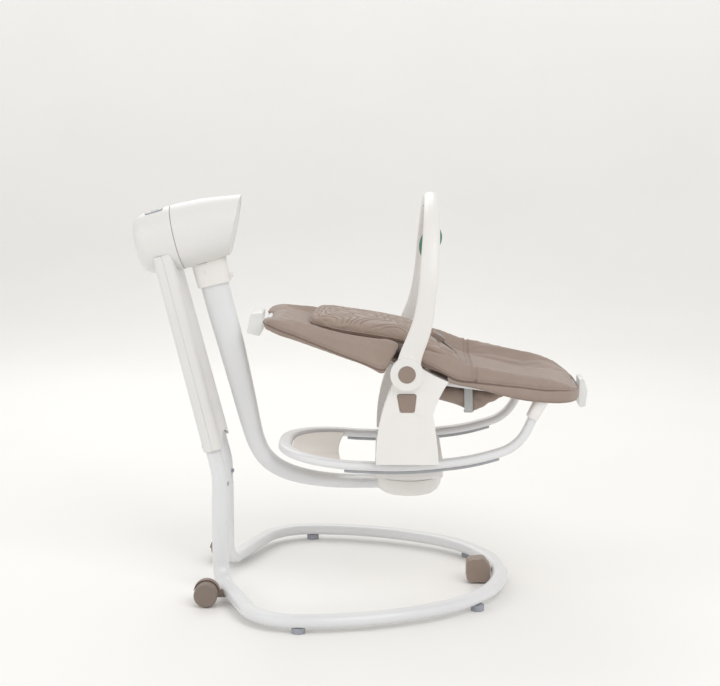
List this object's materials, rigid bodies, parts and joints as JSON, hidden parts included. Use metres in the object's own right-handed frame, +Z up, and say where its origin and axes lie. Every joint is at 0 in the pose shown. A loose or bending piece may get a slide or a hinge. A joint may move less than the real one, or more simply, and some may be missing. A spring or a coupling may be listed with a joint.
{
  "type": "baby swing",
  "caption": "Electric baby swing: oval floor ring, leaning column with drive head, curved arm with turntable, lift-off rocker seat with reclining back, toy bar and leaf toy",
  "frame": {"origin": "on the floor under the middle of the object's box", "axes": "+X from the column towards the foot end of the seat, +Y to the left of a person looking along +X, +Z up; the XZ plane is the middle plane"},
  "size_m": [0.9818, 0.727, 0.866],
  "materials": {
    "frame_paint": "satin pale grey paint",
    "white_plastic": "fine satin, white",
    "taupe_plastic": "fine satin, taupe",
    "grey_plastic": "fine satin, bluish grey",
    "web_plastic": "fine satin, warm off-white",
    "grey_rubber": "matt, bluish grey",
    "taupe_fabric": "woven polyester",
    "insert_fabric": "soft quilted knit",
    "strap_webbing": "flat woven webbing",
    "toy_fabric": "short-pile plush, green",
    "steel": "plain steel",
    "dark_screw": "black",
    "wheel_rubber": "dark grey",
    "board": "green laminate",
    "arm_paint": "smooth satin, cool off-white"
  },
  "bodies": {
    "stand": {"base_tube": "frame_paint", "upper_leg_left": "frame_paint", "upper_leg_right": "frame_paint", "base_feet": "grey_rubber", "column_front_cover": "white_plastic", "column_rear_cover": "white_plastic", "housing_screws": "dark_screw", "head_rear_shell": "white_plastic", "control_panel": "grey_plastic", "circuit_board": "board", "drive_motor": "steel", "motor_chassis": "steel", "swing_bearings": "steel", "adapter_socket": "wheel_rubber", "front_wheel_housing": "taupe_plastic", "wheel_hoods": "taupe_plastic", "wheel_axles": "steel"},
    "leg_button_left": {"leg_button_left": "grey_plastic"},
    "leg_button_right": {"leg_button_right": "grey_plastic"},
    "power_button": {"power_button": "white_plastic"},
    "speed_dial": {"speed_dial": "white_plastic"},
    "motor_pinion": {"motor_pinion": "web_plastic"},
    "rear_wheel_left": {"rear_wheel_left": "wheel_rubber"},
    "rear_wheel_right": {"rear_wheel_right": "wheel_rubber"},
    "front_wheel": {"front_wheel": "wheel_rubber"},
    "swing": {"head_front_shell": "white_plastic", "head_front_cap": "white_plastic", "arm_socket": "white_plastic", "swing_arm": "arm_paint", "sector_gear": "web_plastic", "swing_shaft": "steel", "hub_bowl": "white_plastic"},
    "arm_release_button": {"arm_release_button": "white_plastic"},
    "turntable": {"turntable": "web_plastic"},
    "rocker": {"rocker_tube": "frame_paint", "rail_strips": "grey_rubber", "rocker_web": "web_plastic", "rocker_bridge": "white_plastic", "side_panel_left": "white_plastic", "side_panel_right": "white_plastic", "inner_panels": "white_plastic", "leg_frame": "frame_paint", "riser_sockets": "white_plastic", "foot_clip": "white_plastic", "leg_cushion": "taupe_fabric", "seat_insert": "insert_fabric", "under_seat_pouch": "taupe_fabric", "harness_straps": "strap_webbing", "harness_buckle": "taupe_plastic"},
    "buckle_button": {"buckle_button": "grey_plastic"},
    "release_button_left": {"release_button_left": "taupe_plastic"},
    "release_button_right": {"release_button_right": "taupe_plastic"},
    "backrest": {"backrest_frame": "frame_paint", "back_cushion": "taupe_fabric", "back_insert": "insert_fabric"},
    "recline_handle": {"recline_handle": "white_plastic"},
    "toy_bar": {"toy_bar": "white_plastic"},
    "toy_bar_button_left": {"toy_bar_button_left": "taupe_plastic"},
    "toy_bar_button_right": {"toy_bar_button_right": "taupe_plastic"},
    "leaf_toy": {"leaf_toy": "toy_fabric"}
  },
  "joints": [
    {"name": "swing_pivot", "type": "hinge", "parent": "stand", "child": "swing", "pos_m": [-0.3948, 0, 0.769], "axis": [0.9736, 0, 0.2284], "range_deg": [-12, 12]},
    {"name": "pinion_spin", "type": "hinge", "parent": "stand", "child": "motor_pinion", "pos_m": [-0.43291, 0, 0.80012], "axis": [0.9736, 0, 0.2284], "range_deg": [-42, 42]},
    {"name": "turntable_turn", "type": "hinge", "parent": "swing", "child": "turntable", "pos_m": [0.104, 0, 0.25], "axis": [0, 0, 1], "range_deg": [-90, 90]},
    {"name": "rocker_lift_off", "type": "slide", "parent": "turntable", "child": "rocker", "axis": [0, 0, 1], "range_m": [0, 0.08]},
    {"name": "backrest_recline", "type": "hinge", "parent": "rocker", "child": "backrest", "pos_m": [0.097, 0, 0.507], "axis": [0, 1, 0], "range_deg": [0, 30]},
    {"name": "toy_bar_tilt", "type": "hinge", "parent": "rocker", "child": "toy_bar", "pos_m": [0.097, 0, 0.507], "axis": [0, 1, 0], "range_deg": [-45, 60]},
    {"name": "leaf_toy_swing", "type": "hinge", "parent": "toy_bar", "child": "leaf_toy", "pos_m": [0.15, 0, 0.8394], "axis": [0, 1, 0], "range_deg": [-25, 25]},
    {"name": "rear_wheel_left_spin", "type": "hinge", "parent": "stand", "child": "rear_wheel_left", "pos_m": [-0.326, 0.177, 0.027], "axis": [0, 1, 0], "continuous": true},
    {"name": "rear_wheel_right_spin", "type": "hinge", "parent": "stand", "child": "rear_wheel_right", "pos_m": [-0.326, -0.177, 0.027], "axis": [0, 1, 0], "continuous": true},
    {"name": "front_wheel_spin", "type": "hinge", "parent": "stand", "child": "front_wheel", "pos_m": [0.26, 0, 0.023], "axis": [0, 1, 0], "continuous": true},
    {"name": "power_button_press", "type": "slide", "parent": "stand", "child": "power_button", "axis": [0.304, 0, -0.9527], "range_m": [0, 0.0015], "stiffness_N_per_m": 200, "springref_m": -0.0015},
    {"name": "speed_dial_turn", "type": "hinge", "parent": "stand", "child": "speed_dial", "pos_m": [-0.44462, 0.007, 0.82379], "axis": [-0.304, 0, 0.9527], "range_deg": [0, 270]},
    {"name": "arm_release_press", "type": "slide", "parent": "swing", "child": "arm_release_button", "axis": [-0.9736, 0, -0.2284], "range_m": [0, 0.003], "stiffness_N_per_m": 300, "springref_m": -0.0015},
    {"name": "toy_bar_button_left_press", "type": "slide", "parent": "toy_bar", "child": "toy_bar_button_left", "axis": [0, -1, 0], "range_m": [0, 0.003], "stiffness_N_per_m": 300, "springref_m": -0.0015},
    {"name": "toy_bar_button_right_press", "type": "slide", "parent": "toy_bar", "child": "toy_bar_button_right", "axis": [0, 1, 0], "range_m": [0, 0.003], "stiffness_N_per_m": 300, "springref_m": -0.0015},
    {"name": "release_button_left_press", "type": "slide", "parent": "rocker", "child": "release_button_left", "axis": [0, -1, 0], "range_m": [0, 0.004], "stiffness_N_per_m": 400, "springref_m": -0.0015},
    {"name": "release_button_right_press", "type": "slide", "parent": "rocker", "child": "release_button_right", "axis": [0, 1, 0], "range_m": [0, 0.004], "stiffness_N_per_m": 400, "springref_m": -0.0015},
    {"name": "buckle_button_press", "type": "slide", "parent": "rocker", "child": "buckle_button", "axis": [-0.515, 0, -0.8572], "range_m": [0, 0.0013], "stiffness_N_per_m": 250, "springref_m": -0.0015},
    {"name": "recline_handle_pull", "type": "slide", "parent": "backrest", "child": "recline_handle", "axis": [-0.9563, 0, 0.2924], "range_m": [0, 0.008], "stiffness_N_per_m": 400, "springref_m": -0.003},
    {"name": "leg_button_left_press", "type": "slide", "parent": "stand", "child": "leg_button_left", "axis": [-0.9397, 0.342, 0], "range_m": [0, 0.004], "stiffness_N_per_m": 300, "springref_m": -0.0015},
    {"name": "leg_button_right_press", "type": "slide", "parent": "stand", "child": "leg_button_right", "axis": [-0.9397, -0.342, 0], "range_m": [0, 0.004], "stiffness_N_per_m": 300, "springref_m": -0.0015}
  ],
  "couplings": [
    {"joint": "pinion_spin", "follows": "swing_pivot", "ratio": -3.3333}
  ]
}
